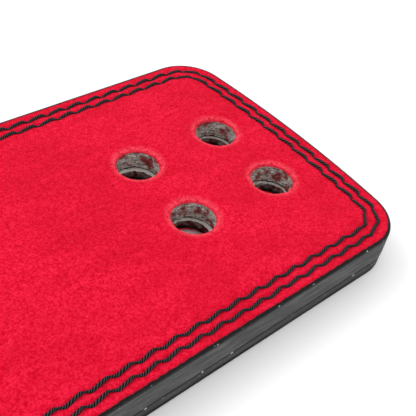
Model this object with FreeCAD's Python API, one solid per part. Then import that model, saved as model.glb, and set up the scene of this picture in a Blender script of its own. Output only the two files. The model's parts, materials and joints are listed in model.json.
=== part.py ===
import FreeCAD, Part

import math
import os

# A suede-faced lifting belt with a lever buckle, laid out flat with its outer face up.
# +X runs along the belt to the tongue end, +Y across it and +Z up.
# The origin is under the middle of the belt, on the surface that it lies on. Millimetres.

Vector = FreeCAD.Vector

# ---- belt ----
BELT_LENGTH = 1000.0
BELT_WIDTH = 100.0
CORNER_RADIUS = 14.2
END_ARC_RADIUS = 381.0
SUEDE = 1.5
OUTER_PLY = 6.6
INNER_PLY = 3.4
EDGE_COAT = 0.4
EDGE_COAT_RIM = 1.0
LIP_ROUND = 0.9

# ---- stitching: two rows all round, lying in shallow grooves ----
OUTER_ROW_INSET = 3.95
INNER_ROW_INSET = 7.1
THREAD = 1.0
THREAD_SINK = 0.7
LINING_THREAD_GAP = 0.1

# ---- holes for the hook's pegs, in the tongue ----
TONGUE_HOLE_RADIUS = 6.45
TONGUE_FIRST = 22.7
TONGUE_PITCH = 30.6
ROW_SPACING = 26.0

# ---- holes that the buckle is screwed to ----
ADJUST_HOLE_RADIUS = 5.0
ADJUST_FIRST = 30.0
ADJUST_PITCH = 25.0
ADJUST_PAIRS = 8
BUCKLE_PAIR = 2

# ---- fasteners ----
SCREW_RADIUS = 3.0
SCREW_HEAD_RADIUS = 6.0
SCREW_HEAD_HEIGHT = 3.2
SCREW_HEAD_ROUND = 1.92
SCREW_END = 5.7
BORE_RUNOUT = 1.0
SOCKET_RADIUS = 2.3
SOCKET_DEPTH = 1.8
WASHER_RADIUS = 7.5
WASHER_THICKNESS = 1.2
WASHER_CHAMFER = 0.3
NUT_CLEARANCE = 0.3
NUT_FLANGE_RADIUS = 9.0
NUT_FLANGE = 1.5
NUT_FLANGE_ROUND = 0.6
NUT_SINK = 0.15
FASTENER_CLEARANCE = 0.1

# ---- buckle ----
PLATE = 2.5
PIVOT_HEIGHT = 17.0
PIVOT_PAST_SCREW = 9.5
LINK_RADIUS = 14.0
OVER_CENTRE = 10.0
PIN_RADIUS = 3.0
RUNNING_FIT = 0.05
SIDE_GAP = 0.4
LEVER_MARGIN = 17.4
LEVER_BOSS = 7.5
FORK_LENGTH = 32.0
LEVER_CROWN = 26.0
LEVER_CROWN_AT = 35.1
LEVER_DIP = 20.0
LEVER_DIP_AT = 78.0
LIP_LENGTH = 14.0
LIP_RISE = 5.0
LIP_MIDDLE = 7.7
LIP_MIDDLE_RISE = 1.5
LIP_UNDER_MIDDLE = 8.4
LIP_TIP_SLANT = 1.25
LIP_TIP_DEPTH = 2.125
LIP_JOIN = 1.0
FLANGE_END = 66.0
FLANGE_START_DEPTH = 8.1
FLANGE_END_DEPTH = 7.2
CHANNEL_CROWN_SHIFT = 6.0
CHANNEL_RELIEF = 0.1
LEVER_EDGE_ROUND = 2.0
LEVER_END_CORNER = 12.0
RIVET_HEAD_RADIUS = 5.5
RIVET_HEAD = 1.6
RIVET_HEAD_ROUND = 1.12
EAR_RADIUS = 8.0
EAR_CROWN_RISE = 2.4
EAR_FOOT = 24.0
BASE_SIDE_MARGIN = 11.0
BASE_END_MARGIN = 12.0
BASE_CORNER = 6.0
BEND_ROUND = 0.8
SHOULDER_SHARE = 0.8

# ---- hook plate with its pegs ----
SPACER_LENGTH = 4.1
SPACER_RADIUS = 5.0
PIN_END_GAP = 0.1
HOOK_PLATE = 3.0
KNUCKLE_RADIUS = 5.5
HOOK_REACH = 48.0
HOOK_NOSE = 11.0
HOOK_CORNER = 9.0
PEG_CLEARANCE = 0.95
PEG_LENGTH = 9.5
PEG_TIP_ROUND = 1.2
PEG_SHANK_RADIUS = 3.5
PEG_HEAD_RADIUS = 5.0
PEG_HEAD = 1.6
PEG_HEAD_ROUND = 1.12
PEG_REST_GAP = 0.4

# ---- modelling ----
OVERCUT = 1.0
SAME = 1e-6
NEARBY = 0.1

# ---- worked out from the sizes above ----
THICKNESS = SUEDE + INNER_PLY + OUTER_PLY + SUEDE
LINING_TOP = SUEDE
GLUE_LINE = SUEDE + INNER_PLY
FACING_BOTTOM = THICKNESS - SUEDE
TAIL_END = -BELT_LENGTH / 2
TONGUE_END = BELT_LENGTH / 2
HALF_SPACING = ROW_SPACING / 2
SCREW_PAIR_X = [TAIL_END + ADJUST_FIRST + ADJUST_PITCH * (BUCKLE_PAIR + step) for step in (0, 1)]
PIVOT_X = SCREW_PAIR_X[0] - PIVOT_PAST_SCREW
PIVOT_Z = THICKNESS + PIVOT_HEIGHT
LINK_X = PIVOT_X + LINK_RADIUS * math.cos(math.radians(OVER_CENTRE))
LINK_Z = PIVOT_Z - LINK_RADIUS * math.sin(math.radians(OVER_CENTRE))
LEVER_WIDTH = BELT_WIDTH - 2 * LEVER_MARGIN
EAR_INSIDE = LEVER_WIDTH / 2 + SIDE_GAP
EAR_OUTSIDE = EAR_INSIDE + PLATE
CHEEK_INSIDE = LEVER_WIDTH / 2 - PLATE
HOOK_WIDTH = 2 * (CHEEK_INSIDE - SPACER_LENGTH)
BASE_HALF = HALF_SPACING + BASE_SIDE_MARGIN
SCREW_TOP = THICKNESS + PLATE + WASHER_THICKNESS
NUT_RADIUS = ADJUST_HOLE_RADIUS - NUT_CLEARANCE
PEG_RADIUS = TONGUE_HOLE_RADIUS - PEG_CLEARANCE


def tongue_holes():
    """Centres of the four peg holes in the tongue."""
    columns = [TONGUE_END - TONGUE_FIRST - TONGUE_PITCH * step for step in (0, 1)]
    return [(x, y) for x in columns for y in (-HALF_SPACING, HALF_SPACING)]


def adjusting_holes():
    """Centres of the pairs of holes near the tail end."""
    columns = [TAIL_END + ADJUST_FIRST + ADJUST_PITCH * step for step in range(ADJUST_PAIRS)]
    return [(x, y) for x in columns for y in (-HALF_SPACING, HALF_SPACING)]


def screw_places():
    """Centres of the four screws that hold the buckle's base."""
    return [(x, y) for x in SCREW_PAIR_X for y in (-HALF_SPACING, HALF_SPACING)]


def upright(radius, bottom, top, x=0.0, y=0.0):
    """A cylinder standing along Z."""
    return Part.makeCylinder(radius, top - bottom, Vector(x, y, bottom), Vector(0, 0, 1))


def crosswise(radius, start, end, x, z):
    """A cylinder lying along Y."""
    return Part.makeCylinder(radius, end - start, Vector(x, start, z), Vector(0, 1, 0))


def block(low, high):
    """A box from its lowest to its highest corner."""
    size = [b - a for a, b in zip(low, high)]
    return Part.makeBox(size[0], size[1], size[2], Vector(*low))


def outline(inset, bottom, top):
    """The belt's outline, pulled in all round by inset, as a slab."""
    half_length = BELT_LENGTH / 2 - inset
    half_width = BELT_WIDTH / 2 - inset
    slab = block((-half_length, -half_width, bottom), (half_length, half_width, top))
    arc = END_ARC_RADIUS - inset
    for side in (-1, 1):
        centre = side * (half_length - arc)
        reach = block((min(centre, -side * BELT_LENGTH), -BELT_WIDTH, bottom),
                      (max(centre, -side * BELT_LENGTH), BELT_WIDTH, top))
        slab = slab.common(upright(arc, bottom, top, centre).fuse(reach).removeSplitter())
    corners = [e for e in slab.Edges if is_corner(e, half_width)]
    return slab.makeFillet(CORNER_RADIUS - inset, corners).removeSplitter()


def is_corner(edge, half_width):
    """True for an upright edge at one of the slab's four corners."""
    first, last = edge.Vertexes[0].Point, edge.Vertexes[-1].Point
    stands = abs(first.x - last.x) < SAME and abs(first.y - last.y) < SAME
    return stands and abs(abs(first.y) - half_width) < SAME


def row_band(inset, bottom, top):
    """A band as wide as the thread, under one row of stitches."""
    outer = outline(inset - THREAD / 2, bottom, top)
    inner = outline(inset + THREAD / 2, bottom, top)
    return outer.cut(inner)


def punch(solid, places, radius, bottom, top):
    """The solid with a round hole at each place."""
    tools = [upright(radius, bottom - OVERCUT, top + OVERCUT, x, y) for x, y in places]
    return solid.cut(Part.makeCompound(tools))


def ply(bottom, top):
    """One layer of the belt with all its holes."""
    layer = outline(EDGE_COAT, bottom, top)
    layer = punch(layer, tongue_holes(), TONGUE_HOLE_RADIUS, bottom, top)
    return punch(layer, adjusting_holes(), ADJUST_HOLE_RADIUS, bottom, top)


def rim_edges(solid, height):
    """The outline's own edges at one height."""
    limit = BELT_WIDTH / 2 - CORNER_RADIUS
    found = []
    for edge in solid.Edges:
        box = edge.BoundBox
        flat = abs(box.ZMin - height) < SAME and abs(box.ZMax - height) < SAME
        away = max(abs(box.YMin), abs(box.YMax)) > limit
        if flat and away and max(box.XLength, box.YLength) > CORNER_RADIUS / 2:
            found.append(edge)
    return found


def outer_suede():
    layer = ply(FACING_BOTTOM, THICKNESS)
    layer = layer.makeFillet(LIP_ROUND, rim_edges(layer, THICKNESS))
    for inset in (OUTER_ROW_INSET, INNER_ROW_INSET):
        layer = layer.cut(row_band(inset, THICKNESS - THREAD_SINK, THICKNESS + OVERCUT))
    return layer


def inner_suede():
    layer = ply(0.0, LINING_TOP)
    layer = layer.makeFillet(LIP_ROUND, rim_edges(layer, 0.0))
    for inset in (OUTER_ROW_INSET, INNER_ROW_INSET):
        layer = layer.cut(row_band(inset, -OVERCUT, LINING_THREAD_GAP + THREAD))
    return seat_for_nuts(layer)


def outer_leather():
    return ply(GLUE_LINE, FACING_BOTTOM)


def inner_leather():
    return seat_for_nuts(ply(LINING_TOP, GLUE_LINE))


def seat_for_nuts(layer):
    """Sinks the layer round the barrel nuts' flanges."""
    depth = NUT_SINK + NUT_FLANGE
    seats = [upright(NUT_FLANGE_RADIUS + FASTENER_CLEARANCE, -OVERCUT, depth, x, y) for x, y in screw_places()]
    return layer.cut(Part.makeCompound(seats))


def edge_coat(bottom, top):
    """A film of edge dressing round the belt."""
    return outline(0.0, bottom, top).cut(outline(EDGE_COAT, bottom, top))


def facing_thread(inset):
    return row_band(inset, THICKNESS - THREAD_SINK, THICKNESS - THREAD_SINK + THREAD)


def lining_thread(inset):
    return row_band(inset, LINING_THREAD_GAP, LINING_THREAD_GAP + THREAD)


def hexagon(radius, bottom, top, x, y):
    """A six-sided upright prism, radius to its corners."""
    corners = []
    for corner in range(7):
        angle = math.radians(360 / 6 * corner)
        corners.append(Vector(x + radius * math.cos(angle), y + radius * math.sin(angle), bottom))
    return Part.Face(Part.makePolygon(corners)).extrude(Vector(0, 0, top - bottom))


def circle_edges(solid, radius, height):
    """The round edges of one radius at one height."""
    found = []
    for edge in solid.Edges:
        round_edge = isinstance(edge.Curve, Part.Circle) and abs(edge.Curve.Radius - radius) < SAME
        if round_edge and abs(edge.Curve.Center.z - height) < SAME:
            found.append(edge)
    return found


def screw(x, y):
    top = SCREW_TOP + SCREW_HEAD_HEIGHT
    shape = upright(SCREW_HEAD_RADIUS, SCREW_TOP, top, x, y)
    shape = shape.makeFillet(SCREW_HEAD_ROUND, circle_edges(shape, SCREW_HEAD_RADIUS, top))
    shape = shape.fuse(upright(SCREW_RADIUS, SCREW_END, SCREW_TOP, x, y))
    return shape.cut(hexagon(SOCKET_RADIUS, top - SOCKET_DEPTH, top + OVERCUT, x, y)).removeSplitter()


def washer(x, y):
    bottom = THICKNESS + PLATE
    shape = upright(WASHER_RADIUS, bottom, bottom + WASHER_THICKNESS, x, y)
    shape = shape.makeChamfer(WASHER_CHAMFER, circle_edges(shape, WASHER_RADIUS, bottom + WASHER_THICKNESS))
    return shape.cut(upright(SCREW_RADIUS + FASTENER_CLEARANCE, bottom - OVERCUT, SCREW_TOP + OVERCUT, x, y))


def barrel_nut(x, y):
    bottom = NUT_SINK
    shape = upright(NUT_FLANGE_RADIUS, bottom, bottom + NUT_FLANGE, x, y)
    shape = shape.makeFillet(NUT_FLANGE_ROUND, circle_edges(shape, NUT_FLANGE_RADIUS, bottom))
    shape = shape.fuse(upright(NUT_RADIUS, bottom + NUT_FLANGE, THICKNESS - FASTENER_CLEARANCE, x, y))
    bore = upright(SCREW_RADIUS + RUNNING_FIT, SCREW_END - BORE_RUNOUT, THICKNESS + OVERCUT, x, y)
    return shape.cut(bore).removeSplitter()


def plate_outline(points, thickness, bottom):
    """A flat plate from its corner points, lying in the XY plane."""
    corners = [Vector(x, y, bottom) for x, y in points]
    return Part.Face(Part.makePolygon(corners + corners[:1])).extrude(Vector(0, 0, thickness))


def upright_edges(solid, places):
    """The Z edges of a plate that stand at given places."""
    found = []
    for edge in solid.Edges:
        box = edge.BoundBox
        if box.XLength > NEARBY or box.YLength > NEARBY:
            continue
        if any(math.hypot(box.XMin - x, box.YMin - y) < NEARBY for x, y in places):
            found.append(edge)
    return found


def ear(side):
    """An upright ear of the base, with a round top about the pivot."""
    inner = min(side * EAR_INSIDE, side * EAR_OUTSIDE)
    foot = THICKNESS
    reach = EAR_FOOT / 2
    rise = EAR_CROWN_RISE
    flank = math.sqrt(EAR_RADIUS ** 2 - rise ** 2)
    points = [
        Vector(PIVOT_X - EAR_RADIUS, inner, foot),
        Vector(PIVOT_X + 2 * reach - EAR_RADIUS, inner, foot),
        Vector(PIVOT_X + 2 * reach - EAR_RADIUS, inner, foot + PLATE),
        Vector(PIVOT_X + flank, inner, PIVOT_Z + rise),
    ]
    top = Vector(PIVOT_X, inner, PIVOT_Z + EAR_RADIUS)
    last = Vector(PIVOT_X - EAR_RADIUS, inner, PIVOT_Z)
    edges = [Part.makeLine(a, b) for a, b in zip(points, points[1:])]
    edges.append(Part.Arc(points[-1], top, last).toShape())
    edges.append(Part.makeLine(last, points[0]))
    return Part.Face(Part.Wire(edges)).extrude(Vector(0, PLATE, 0))


def base_plate():
    front = PIVOT_X - EAR_RADIUS
    step = PIVOT_X + EAR_FOOT - EAR_RADIUS
    back = SCREW_PAIR_X[1] + BASE_END_MARGIN
    half = min(BASE_HALF, EAR_INSIDE)
    points = [(front, -EAR_OUTSIDE), (step, -EAR_OUTSIDE), (step, -half), (back, -half),
              (back, half), (step, half), (step, EAR_OUTSIDE), (front, EAR_OUTSIDE)]
    floor = plate_outline(points, PLATE, THICKNESS)
    ends = [(back, -half), (back, half)]
    floor = floor.makeFillet(BASE_CORNER, upright_edges(floor, ends))
    shoulders = [(step, -half), (step, half)]
    shoulder_round = min(BASE_CORNER, (EAR_OUTSIDE - half) * SHOULDER_SHARE)
    floor = floor.makeFillet(shoulder_round, upright_edges(floor, shoulders))
    shape = floor.fuse([ear(-1), ear(1)]).removeSplitter()
    bends = []
    for edge in shape.Edges:
        box = edge.BoundBox
        along = box.YLength < SAME and box.ZLength < SAME and abs(box.ZMin - THICKNESS - PLATE) < SAME
        if along and abs(abs(box.YMin) - EAR_INSIDE) < SAME:
            bends.append(edge)
        low = box.YLength < SAME and box.ZLength < SAME and abs(box.ZMin - THICKNESS) < SAME
        if low and abs(abs(box.YMin) - EAR_OUTSIDE) < SAME:
            bends.append(edge)
    shape = shape.makeFillet(BEND_ROUND, bends)
    for x, y in screw_places():
        shape = shape.cut(upright(SCREW_RADIUS + FASTENER_CLEARANCE, THICKNESS - OVERCUT, SCREW_TOP, x, y))
    return shape.cut(crosswise(PIN_RADIUS, -EAR_OUTSIDE - OVERCUT, EAR_OUTSIDE + OVERCUT, PIVOT_X, PIVOT_Z))


def lever_point(along, height, y):
    return Vector(PIVOT_X + along, y, THICKNESS + height)


def lever_side(y):
    """The lever's side view without its lip: boss, crowned top and flange."""
    boss_top = lever_point(0, PIVOT_HEIGHT + LEVER_BOSS, y)
    crown = lever_point(LEVER_CROWN_AT, LEVER_CROWN, y)
    dip = lever_point(LEVER_DIP_AT, LEVER_DIP, y)
    dip_under = lever_point(LEVER_DIP_AT - LIP_JOIN, LEVER_DIP - PLATE, y)
    flange_end = lever_point(FLANGE_END, LEVER_DIP - FLANGE_END_DEPTH, y)
    flange_start = lever_point(FORK_LENGTH, PIVOT_HEIGHT - FLANGE_START_DEPTH, y)
    boss_under = lever_point(0, PIVOT_HEIGHT - LEVER_BOSS, y)
    boss_front = lever_point(-LEVER_BOSS, PIVOT_HEIGHT, y)
    edges = [
        Part.Arc(boss_top, crown, dip).toShape(),
        Part.makeLine(dip, dip_under),
        Part.makeLine(dip_under, flange_end),
        Part.makeLine(flange_end, flange_start),
        Part.makeLine(flange_start, boss_under),
        Part.Arc(boss_under, boss_front, boss_top).toShape(),
    ]
    return Part.Wire(edges)


def lever_lip():
    """The upturned end of the lever, that a finger lifts."""
    y = -LEVER_WIDTH / 2
    tip_at = LEVER_DIP_AT + LIP_LENGTH
    dip = lever_point(LEVER_DIP_AT, LEVER_DIP, y)
    lip = lever_point(LEVER_DIP_AT + LIP_MIDDLE, LEVER_DIP + LIP_MIDDLE_RISE, y)
    tip = lever_point(tip_at, LEVER_DIP + LIP_RISE, y)
    tip_under = lever_point(tip_at + LIP_TIP_SLANT, LEVER_DIP + LIP_RISE - LIP_TIP_DEPTH, y)
    lip_under = lever_point(LEVER_DIP_AT + LIP_UNDER_MIDDLE, LEVER_DIP + LIP_MIDDLE_RISE - PLATE, y)
    dip_under = lever_point(LEVER_DIP_AT - LIP_JOIN, LEVER_DIP - PLATE, y)
    edges = [
        Part.Arc(dip, lip, tip).toShape(),
        Part.makeLine(tip, tip_under),
        Part.Arc(tip_under, lip_under, dip_under).toShape(),
        Part.makeLine(dip_under, dip),
    ]
    return Part.Face(Part.Wire(edges)).extrude(Vector(0, LEVER_WIDTH, 0))


def lever_channel():
    """What is cut from under the lever's skin, between its flanges."""
    y = -CHEEK_INSIDE
    start = lever_point(FORK_LENGTH - OVERCUT, LEVER_CROWN - PLATE, y)
    crown = lever_point(LEVER_CROWN_AT + CHANNEL_CROWN_SHIFT, LEVER_CROWN - PLATE - CHANNEL_RELIEF, y)
    end = lever_point(LEVER_DIP_AT - LIP_JOIN, LEVER_DIP - PLATE, y)
    floor_end = lever_point(LEVER_DIP_AT - LIP_JOIN, 0, y)
    floor_start = lever_point(FORK_LENGTH - OVERCUT, 0, y)
    edges = [
        Part.Arc(start, crown, end).toShape(),
        Part.makeLine(end, floor_end),
        Part.makeLine(floor_end, floor_start),
        Part.makeLine(floor_start, start),
    ]
    return Part.Face(Part.Wire(edges)).extrude(Vector(0, 2 * CHEEK_INSIDE, 0))


def lever_handle():
    half = LEVER_WIDTH / 2
    shape = Part.Face(lever_side(-half)).extrude(Vector(0, LEVER_WIDTH, 0))
    top_edges = []
    for edge in shape.Edges:
        box = edge.BoundBox
        if box.YLength < SAME and box.XLength > FORK_LENGTH and box.ZMax > THICKNESS + LEVER_DIP + LIP_RISE:
            top_edges.append(edge)
    shape = shape.makeFillet(LEVER_EDGE_ROUND, top_edges)
    shape = shape.fuse(lever_lip())
    front = PIVOT_X - 2 * LEVER_BOSS
    tip = PIVOT_X + LEVER_DIP_AT + LIP_LENGTH + LIP_TIP_SLANT
    plan = block((front, -half, THICKNESS), (tip, half, THICKNESS + 2 * LEVER_CROWN))
    plan = plan.makeFillet(LEVER_END_CORNER, upright_edges(plan, [(tip, -half), (tip, half)]))
    shape = shape.common(plan)
    fork = block((PIVOT_X - 2 * LEVER_BOSS, -CHEEK_INSIDE, THICKNESS),
                 (PIVOT_X + FORK_LENGTH, CHEEK_INSIDE, THICKNESS + 2 * LEVER_CROWN))
    shape = shape.cut(fork).cut(lever_channel())
    for x, z in ((PIVOT_X, PIVOT_Z), (LINK_X, LINK_Z)):
        shape = shape.cut(crosswise(PIN_RADIUS + RUNNING_FIT, -half - OVERCUT, half + OVERCUT, x, z))
    return shape.removeSplitter()


def pivot_rivet(side):
    """A short rivet through one ear and one flange of the lever."""
    inside = CHEEK_INSIDE
    outside = EAR_OUTSIDE
    shank = crosswise(PIN_RADIUS, inside, outside, PIVOT_X, PIVOT_Z)
    head = crosswise(RIVET_HEAD_RADIUS, outside, outside + RIVET_HEAD, PIVOT_X, PIVOT_Z)
    rim = [e for e in head.Edges if abs(e.BoundBox.YMax - outside - RIVET_HEAD) < SAME
           and e.BoundBox.YLength < SAME]
    head = head.makeFillet(RIVET_HEAD_ROUND, rim)
    shape = shank.fuse(head).removeSplitter()
    if side < 0:
        shape = shape.mirror(Vector(0, 0, 0), Vector(0, 1, 0))
    return shape


def link_pin():
    half = LEVER_WIDTH / 2 - PIN_END_GAP
    return crosswise(PIN_RADIUS, -half, half, LINK_X, LINK_Z)


def spacer(side):
    """A sleeve on the link pin that keeps the hook plate in the middle."""
    inner = HOOK_WIDTH / 2 + FASTENER_CLEARANCE
    outer = CHEEK_INSIDE - FASTENER_CLEARANCE
    tube = crosswise(SPACER_RADIUS, inner, outer, LINK_X, LINK_Z)
    tube = tube.cut(crosswise(PIN_RADIUS, inner - OVERCUT, outer + OVERCUT, LINK_X, LINK_Z))
    if side < 0:
        tube = tube.mirror(Vector(0, 0, 0), Vector(0, 1, 0))
    return tube


def rest_tilt():
    """How far the hook plate drops until its pegs all but touch the belt, in degrees."""
    reach = HOOK_REACH + PEG_RADIUS
    drop = HOOK_PLATE / 2 + PEG_LENGTH
    height = LINK_Z - THICKNESS - PEG_REST_GAP
    return math.degrees(math.asin(height / math.hypot(reach, drop)) - math.atan2(drop, reach))


def tilted(shape):
    """Turns a piece of the hook about the link pin to where it lies at rest."""
    shape.rotate(Vector(LINK_X, 0, LINK_Z), Vector(0, 1, 0), -rest_tilt())
    return shape


def hook_plate():
    half = HOOK_WIDTH / 2
    nose = LINK_X - HOOK_REACH - HOOK_NOSE
    bottom = LINK_Z - HOOK_PLATE / 2
    plate = block((nose, -half, bottom), (LINK_X, half, bottom + HOOK_PLATE))
    plate = plate.makeFillet(HOOK_CORNER, upright_edges(plate, [(nose, -half), (nose, half)]))
    shape = plate.fuse(crosswise(KNUCKLE_RADIUS, -half, half, LINK_X, LINK_Z)).removeSplitter()
    shape = shape.cut(crosswise(PIN_RADIUS + RUNNING_FIT, -half - OVERCUT, half + OVERCUT, LINK_X, LINK_Z))
    peg_x = LINK_X - HOOK_REACH
    top = bottom + HOOK_PLATE
    for y in (-HALF_SPACING, HALF_SPACING):
        shape = shape.cut(upright(PEG_SHANK_RADIUS, bottom - OVERCUT, top + OVERCUT, peg_x, y))
    return tilted(shape)


def hook_peg(y):
    x = LINK_X - HOOK_REACH
    bottom = LINK_Z - HOOK_PLATE / 2
    top = bottom + HOOK_PLATE
    peg = upright(PEG_RADIUS, bottom - PEG_LENGTH, bottom, x, y)
    peg = peg.makeFillet(PEG_TIP_ROUND, circle_edges(peg, PEG_RADIUS, bottom - PEG_LENGTH))
    head = upright(PEG_HEAD_RADIUS, top, top + PEG_HEAD, x, y)
    head = head.makeFillet(PEG_HEAD_ROUND, circle_edges(head, PEG_HEAD_RADIUS, top + PEG_HEAD))
    shank = upright(PEG_SHANK_RADIUS, bottom, top, x, y)
    return tilted(peg.fuse([shank, head]).removeSplitter())


def both_sides(make):
    return Part.makeCompound([make(-1), make(1)])


def each_screw(make):
    return Part.makeCompound([make(x, y) for x, y in screw_places()])


NODES = {
    "outer_suede": outer_suede,
    "outer_leather": outer_leather,
    "inner_leather": inner_leather,
    "inner_suede": inner_suede,
    "edge_coat_upper": lambda: edge_coat(GLUE_LINE, THICKNESS - EDGE_COAT_RIM),
    "edge_coat_lower": lambda: edge_coat(EDGE_COAT_RIM, GLUE_LINE),
    "facing_thread_outer": lambda: facing_thread(OUTER_ROW_INSET),
    "facing_thread_inner": lambda: facing_thread(INNER_ROW_INSET),
    "lining_thread_outer": lambda: lining_thread(OUTER_ROW_INSET),
    "lining_thread_inner": lambda: lining_thread(INNER_ROW_INSET),
    "base_plate": base_plate,
    "base_screws": lambda: each_screw(screw),
    "screw_washers": lambda: each_screw(washer),
    "barrel_nuts": lambda: each_screw(barrel_nut),
    "lever_handle": lever_handle,
    "pivot_rivets": lambda: both_sides(pivot_rivet),
    "link_pin": link_pin,
    "pin_spacers": lambda: both_sides(spacer),
    "hook_plate": hook_plate,
    "hook_pegs": lambda: Part.makeCompound([hook_peg(-HALF_SPACING), hook_peg(HALF_SPACING)]),
}

os.makedirs("parts", exist_ok=True)
for name, make in NODES.items():
    shape = make()
    shape.exportStep("parts/" + name + ".step")
    print(name, len(shape.Solids), "solids", round(shape.Volume, 1), "mm3", shape.isValid())
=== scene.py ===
import json
import math
import random

import bmesh
import bpy
from bpy.props import FloatProperty, FloatVectorProperty, IntProperty, PointerProperty
from mathutils import Matrix, Vector, kdtree, noise
from mathutils.geometry import delaunay_2d_cdt


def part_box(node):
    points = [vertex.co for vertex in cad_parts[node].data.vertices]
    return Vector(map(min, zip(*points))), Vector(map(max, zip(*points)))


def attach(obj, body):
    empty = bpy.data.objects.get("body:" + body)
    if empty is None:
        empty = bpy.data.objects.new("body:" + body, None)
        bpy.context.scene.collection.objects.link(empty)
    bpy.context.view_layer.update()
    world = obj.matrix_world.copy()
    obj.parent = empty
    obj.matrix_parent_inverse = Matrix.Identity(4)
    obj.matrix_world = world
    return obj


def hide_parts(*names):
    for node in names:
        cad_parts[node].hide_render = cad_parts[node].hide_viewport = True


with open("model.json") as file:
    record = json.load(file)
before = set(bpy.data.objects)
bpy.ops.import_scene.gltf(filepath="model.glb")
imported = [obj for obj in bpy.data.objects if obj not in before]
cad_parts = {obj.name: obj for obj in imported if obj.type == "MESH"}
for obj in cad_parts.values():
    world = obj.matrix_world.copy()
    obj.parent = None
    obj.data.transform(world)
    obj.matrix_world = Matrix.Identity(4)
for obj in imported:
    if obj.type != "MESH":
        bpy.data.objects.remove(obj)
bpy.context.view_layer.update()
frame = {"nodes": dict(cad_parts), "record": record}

bl_info = {
    "name": "Lever Belt",
    "version": (1, 0, 0),
    "blender": (4, 5, 0),
    "location": "3D View > Sidebar > Lever Belt",
    "description": "Suede lifting belt with stitched edges, punched holes and a lever buckle",
    "category": "Object",
}

MM = 0.001

# ---- what the frame says ----
FACE_LOW, FACE_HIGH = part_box("outer_suede")
BELT_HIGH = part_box("edge_coat_upper")[1]
HALF_LENGTH = BELT_HIGH.x
HALF_WIDTH = BELT_HIGH.y
FACE_TOP = FACE_HIGH.z
FACE_BOTTOM = FACE_LOW.z
GLUE_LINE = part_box("inner_leather")[1].z
LINING_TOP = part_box("inner_suede")[1].z
COAT_FILM = HALF_WIDTH - FACE_HIGH.y
THREAD_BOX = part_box("facing_thread_outer")
THREAD = THREAD_BOX[1].z - THREAD_BOX[0].z
OUTER_ROW = HALF_WIDTH - THREAD_BOX[1].y + THREAD / 2
INNER_ROW = HALF_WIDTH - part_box("facing_thread_inner")[1].y + THREAD / 2
MOUNTS = {mount["name"]: mount for mount in frame["record"]["mounts"]}
HALF_ROW_SPACING = MOUNTS["tongue_holes"]["dims"]["spacing_y_mm"] * MM / 2
FLANGE_GAP = 0.1 * MM
NUT_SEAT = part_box("barrel_nuts")[1].y - HALF_ROW_SPACING + FLANGE_GAP
NUT_DEPTH = 1.65 * MM

# ---- the belt's outline, as it is cut ----
CORNER_RADIUS = 14.2 * MM
END_ARC_RADIUS = 381.0 * MM
CORNER_Y = HALF_WIDTH - CORNER_RADIUS
END_LEAN = math.asin(CORNER_Y / (END_ARC_RADIUS - CORNER_RADIUS))
CORNER_X = HALF_LENGTH - END_ARC_RADIUS + (END_ARC_RADIUS - CORNER_RADIUS) * math.cos(END_LEAN)
OUTLINE_POINTS = 1600

# ---- how finely and how roughly the belt is shaped ----
HOLE_CELL = 12.2 * MM
HOLE_SEGMENTS = 96
WALL_ROW = 0.45 * MM
RIM_REACH = 3.0 * MM
ROUND_STEPS = 5
DISH_STEPS = 9
LIP_STEPS = 6
SAME_HEIGHT = 1e-6
GROOVE_HALF_WIDTH = 1.25 * MM
GROOVES_START = 2.4 * MM
GROOVES_END = 9.4 * MM
NEEDLE_REACH = 1.1 * MM
NEEDLE_DEPTH = 0.34 * MM
# width and offset of the painted highlight round the peg holes
LIP_HIGHLIGHT_WIDTH = 1.5 * MM
LIP_HIGHLIGHT_OFFSET = 0.7 * MM
SUEDE_ROUGHNESS = 0.30 * MM
SUEDE_GRAIN = 2.4 * MM
PLY_ROUGHNESS = 0.55 * MM
PLY_GRAIN = 1.1 * MM
SEATED_ROUGHNESS = 0.1 * MM
UPPER_HOLE_WIDER = 0.3 * MM
UPPER_HOLE_FLARE = 0.5 * MM
LOWER_HOLE_NARROWER = 0.25 * MM
LOWER_HOLE_FLARE = 0.05 * MM
EDGE_SEAM = 0.30 * MM
LOWER_BAND_INSET = 0.15 * MM

# ---- the shades that the finishes are mixed from ----
# painted shade for nap whose brush strokes lie away from the light
RED_NAP_SHADE = (0.48, 0.0005, 0.010)
# painted shade for the hollows of the nap
RED_HOLLOW_SHADE = (0.36, 0.0005, 0.006)
NAP_FLECK = (0.95, 0.16, 0.22)
# painted highlight on the fuzzy nap round the tongue's holes
NAP_LIP_HIGHLIGHT = (0.90, 0.11, 0.15)
NAP_SHEEN = (1.0, 0.45, 0.5, 1.0)
SMEARED_RED = (0.20, 0.004, 0.010)
RIM_BLACK = (0.012, 0.011, 0.012)
PALE_FIBRE = (0.86, 0.82, 0.76)
DARK_LAYER = (0.05, 0.042, 0.038)
SOAKED_DYE = (0.27, 0.006, 0.014)
# painted shade down the lower ply's wall, tinted dark red by the dye
DEEP_DYE_AND_SHADE = (0.09, 0.008, 0.011)
# painted shade: black for the bottom of the holes and the undercut between the plies
HOLE_SHADE_BLACK = (0.004, 0.003, 0.003)
# painted highlight on the lower ply's ledge
LEDGE_HIGHLIGHT = (0.92, 0.88, 0.82)
# painted satin sheen on the dressed edge
EDGE_SHEEN_STREAK = (0.120, 0.120, 0.121)
EDGE_LOWER = (0.028, 0.028, 0.029)
EDGE_BLACK = (0.004, 0.004, 0.004)
LINT = (0.62, 0.60, 0.57)
# painted highlight on the crowns of the thread's strands
STRAND_HIGHLIGHT = (0.060, 0.064, 0.070)
THREAD_FUZZ = (0.12, 0.125, 0.13)
PLATED_STEEL = (0.50, 0.50, 0.49)
NYLON_DARK = (0.025, 0.025, 0.026)
NYLON_LIGHT = (0.05, 0.05, 0.052)
FLOOR_LOW = (0.975, 0.975, 0.975)
FLOOR_HIGH = (0.985, 0.985, 0.985)

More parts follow.
